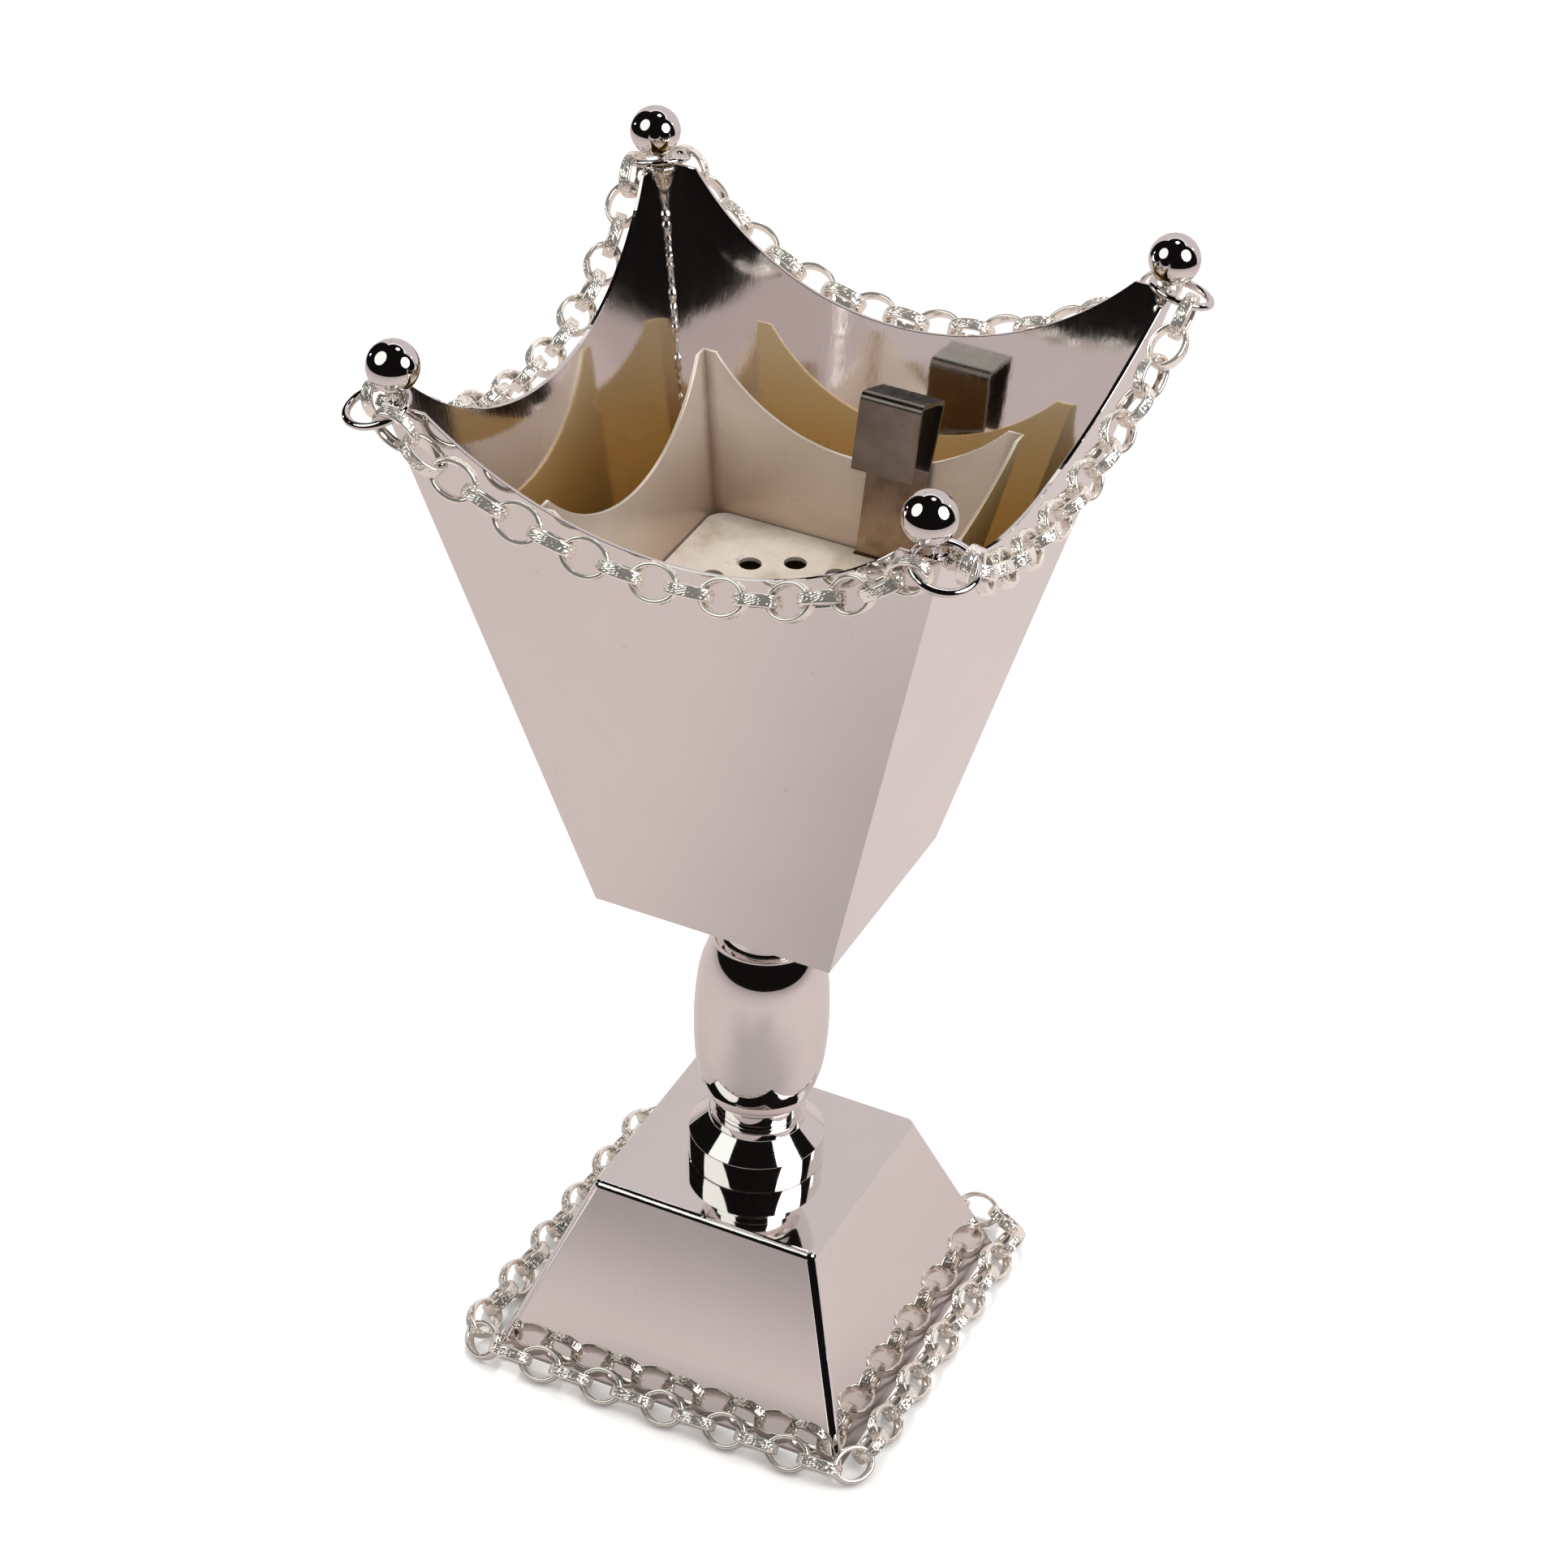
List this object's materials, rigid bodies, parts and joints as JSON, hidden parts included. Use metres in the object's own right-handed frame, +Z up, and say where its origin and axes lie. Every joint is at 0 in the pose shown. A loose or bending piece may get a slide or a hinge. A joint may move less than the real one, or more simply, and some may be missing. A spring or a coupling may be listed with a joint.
{
  "type": "mabkhara incense burner",
  "caption": "Silver-plated table incense burner: flared square crown bowl on a turned column and pyramid base, ball finials, chain swags, lift-out liner and charcoal plate.",
  "frame": {"origin": "centre of the base's footprint, on the table surface", "axes": "+Z up along the column; +X towards the right-hand bowl panel, -Y towards the front bowl panel"},
  "size_m": [0.1526, 0.1526, 0.3001],
  "materials": {
    "silver_plate": "mirror-polished silver plate",
    "solder": "rough bright solder",
    "liner_sheet": "satin brushed, golden outside",
    "plate_steel": "dull, soot-marked",
    "handle_steel": "dull, heat-tinted",
    "fixing_steel": "plain zinc"
  },
  "bodies": {
    "burner": {"base_shell": "silver_plate", "column_foot": "silver_plate", "column_neck_lower": "silver_plate", "column_bulb": "silver_plate", "column_neck_upper": "silver_plate", "column_head": "silver_plate", "bowl_floor": "silver_plate", "bowl_panel_front": "silver_plate", "bowl_panel_right": "silver_plate", "bowl_panel_back": "silver_plate", "bowl_panel_left": "silver_plate", "finial_ball_front_right": "silver_plate", "finial_post_front_right": "silver_plate", "corner_ring_front_right": "silver_plate", "corner_links_front_right": "silver_plate", "corner_solder_front_right": "solder", "finial_ball_back_right": "silver_plate", "finial_post_back_right": "silver_plate", "corner_ring_back_right": "silver_plate", "corner_links_back_right": "silver_plate", "corner_solder_back_right": "solder", "finial_ball_back_left": "silver_plate", "finial_post_back_left": "silver_plate", "corner_ring_back_left": "silver_plate", "corner_links_back_left": "silver_plate", "corner_solder_back_left": "solder", "finial_ball_front_left": "silver_plate", "finial_post_front_left": "silver_plate", "corner_ring_front_left": "silver_plate", "corner_links_front_left": "silver_plate", "corner_solder_front_left": "solder", "tie_rod": "fixing_steel", "base_nut": "fixing_steel", "bowl_nut": "fixing_steel", "base_washer": "fixing_steel", "bowl_washer": "fixing_steel"},
    "liner": {"liner_panel_front": "liner_sheet", "liner_panel_right": "liner_sheet", "liner_panel_back": "liner_sheet", "liner_panel_left": "liner_sheet", "liner_floor": "liner_sheet"},
    "plate": {"charcoal_plate": "plate_steel", "lift_handle": "handle_steel"},
    "foot_chain": {"base_chain": "silver_plate"},
    "swag_front": {"chain_swag_front": "silver_plate"},
    "swag_right": {"chain_swag_right": "silver_plate"},
    "swag_back": {"chain_swag_back": "silver_plate"},
    "swag_left": {"chain_swag_left": "silver_plate"}
  },
  "joints": [
    {"name": "liner_lift", "type": "slide", "parent": "burner", "child": "liner", "axis": [0, 0, 1], "range_m": [0, 0.12]},
    {"name": "plate_lift", "type": "slide", "parent": "liner", "child": "plate", "axis": [0, 0, 1], "range_m": [0, 0.06]},
    {"name": "foot_chain_lift", "type": "slide", "parent": "burner", "child": "foot_chain", "axis": [0, 0, 1], "range_m": [0, 0.09]},
    {"name": "swag_front_swing", "type": "hinge", "parent": "burner", "child": "swag_front", "pos_m": [0, -0.07032, 0.27843], "axis": [-1, 0, 0], "range_deg": [0, 10]},
    {"name": "swag_right_swing", "type": "hinge", "parent": "burner", "child": "swag_right", "pos_m": [0.07032, 0, 0.27843], "axis": [0, -1, 0], "range_deg": [0, 10]},
    {"name": "swag_back_swing", "type": "hinge", "parent": "burner", "child": "swag_back", "pos_m": [0, 0.07032, 0.27843], "axis": [1, 0, 0], "range_deg": [0, 10]},
    {"name": "swag_left_swing", "type": "hinge", "parent": "burner", "child": "swag_left", "pos_m": [-0.07032, 0, 0.27843], "axis": [0, 1, 0], "range_deg": [0, 10]}
  ]
}
